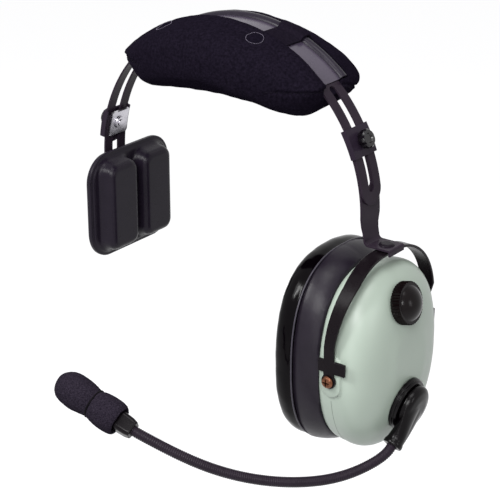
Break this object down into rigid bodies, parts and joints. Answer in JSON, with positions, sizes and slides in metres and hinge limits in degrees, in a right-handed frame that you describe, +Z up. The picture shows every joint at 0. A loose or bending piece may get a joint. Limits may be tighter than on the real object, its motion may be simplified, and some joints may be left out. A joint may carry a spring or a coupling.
{
  "type": "aviation headset",
  "caption": "Over-head aviation headset with one padded ear cup, a flexible microphone arm and a rubber temple pad.",
  "frame": {"origin": "middle of the crown pad's underside, where the headset rests on a head", "axes": "+X towards the wearer's left (the ear cup), -Y towards the wearer's front, +Z up"},
  "size_m": [0.2023, 0.1725, 0.2067],
  "materials": {
    "spring_steel": "satin black",
    "clamp_paint": "satin black",
    "cover_vinyl": "matt black vinyl",
    "pad_cloth": "black cloth",
    "strap_cloth": "black cloth tape",
    "snap_cloth": "black press stud",
    "zinc_steel": "zinc plated",
    "rivet_black": "satin black",
    "grip_plastic": "gloss black",
    "stirrup_paint": "satin black",
    "pivot_copper": "copper plated",
    "dome_green": "sage green enamel",
    "flange_plastic": "satin black",
    "seal_vinyl": "gloss black skin over foam",
    "liner_foam": "charcoal foam",
    "magnet_steel": "plated steel",
    "board_green": "green laminate",
    "board_black": "black",
    "knob_plastic": "gloss black",
    "holder_plastic": "gloss black",
    "neck_rubber": "satin black",
    "mic_plastic": "satin black",
    "mic_foam": "black foam",
    "tie_rubber": "black",
    "temple_rubber": "satin black",
    "gland_black": "satin black"
  },
  "bodies": {
    "headband": {"spring_band": "spring_steel", "channel_cover": "cover_vinyl", "crown_pad": "pad_cloth", "pad_snaps": "snap_cloth", "cover_strap": "strap_cloth"},
    "right_arm": {"right_arm_strap": "spring_steel", "right_clamp_plate": "clamp_paint", "right_nut_plate": "zinc_steel", "swivel_rivet": "rivet_black", "swivel_washer": "zinc_steel"},
    "right_grip": {"right_clamp_grip": "grip_plastic", "right_clamp_screw": "zinc_steel"},
    "left_arm": {"left_arm_strap": "spring_steel", "left_clamp_plate": "clamp_paint", "left_nut_plate": "zinc_steel", "hinge_pin": "zinc_steel"},
    "left_grip": {"left_clamp_grip": "grip_plastic", "left_clamp_screw": "zinc_steel"},
    "yoke": {"stirrup": "stirrup_paint"},
    "cup": {"dome_shell": "dome_green", "ear_flange": "flange_plastic", "case_screws": "zinc_steel", "ear_seal": "seal_vinyl", "baffle_plate": "flange_plastic", "ear_liner": "liner_foam", "earphone_case": "flange_plastic", "earphone_magnet": "magnet_steel", "amp_board": "board_green", "board_parts": "board_black", "acoustic_foam": "liner_foam", "volume_pot": "magnet_steel", "pot_nut": "zinc_steel", "boom_disc": "holder_plastic", "pivot_screws": "pivot_copper", "cord_gland": "gland_black"},
    "volume": {"volume_knob": "knob_plastic", "pot_shaft": "zinc_steel"},
    "boom": {"boom_holder": "holder_plastic", "boom_stud": "zinc_steel", "boom_washer": "zinc_steel", "boom_nut": "zinc_steel", "gooseneck": "neck_rubber", "mic_housing": "mic_plastic", "mic_cap": "mic_plastic", "mic_capsule": "magnet_steel", "windscreen": "mic_foam", "windscreen_tie": "tie_rubber"},
    "temple": {"temple_pad": "temple_rubber", "temple_plate": "clamp_paint", "pad_rivets": "zinc_steel"}
  },
  "joints": [
    {"name": "right_arm_slide", "type": "hinge", "parent": "headband", "child": "right_arm", "pos_m": [0, 0, -0.049], "axis": [0, 1, 0], "range_deg": [-7, 15]},
    {"name": "right_grip_turn", "type": "hinge", "parent": "right_arm", "child": "right_grip", "pos_m": [0.07415, 0, -0.01283], "axis": [0.8988, 0, 0.4384], "range_deg": [0, 360]},
    {"name": "left_arm_slide", "type": "hinge", "parent": "headband", "child": "left_arm", "pos_m": [0, 0, -0.049], "axis": [0, 1, 0], "range_deg": [-2, 12]},
    {"name": "left_grip_turn", "type": "hinge", "parent": "left_arm", "child": "left_grip", "pos_m": [-0.08054, 0, -0.03114], "axis": [-0.9763, 0, 0.2164], "range_deg": [0, 360]},
    {"name": "stirrup_swivel", "type": "hinge", "parent": "right_arm", "child": "yoke", "pos_m": [0.09075, 0, -0.0638], "axis": [0, 0, 1], "range_deg": [-8, 8]},
    {"name": "cup_tilt", "type": "hinge", "parent": "yoke", "child": "cup", "pos_m": [0.08615, 0, -0.1196], "axis": [0, 1, 0], "range_deg": [-10, 10]},
    {"name": "volume_turn", "type": "hinge", "parent": "cup", "child": "volume", "pos_m": [0.10328, -0.005, -0.0872], "axis": [0.9703, 0, 0.2419], "range_deg": [-150, 150]},
    {"name": "boom_turn", "type": "hinge", "parent": "cup", "child": "boom", "pos_m": [0.10482, -0.002, -0.141], "axis": [0.9781, 0, -0.2079], "range_deg": [-45, 110]},
    {"name": "temple_pad_tilt", "type": "hinge", "parent": "left_arm", "child": "temple", "pos_m": [-0.07919, 0, -0.07149], "axis": [0, 1, 0], "range_deg": [-10, 15]}
  ]
}
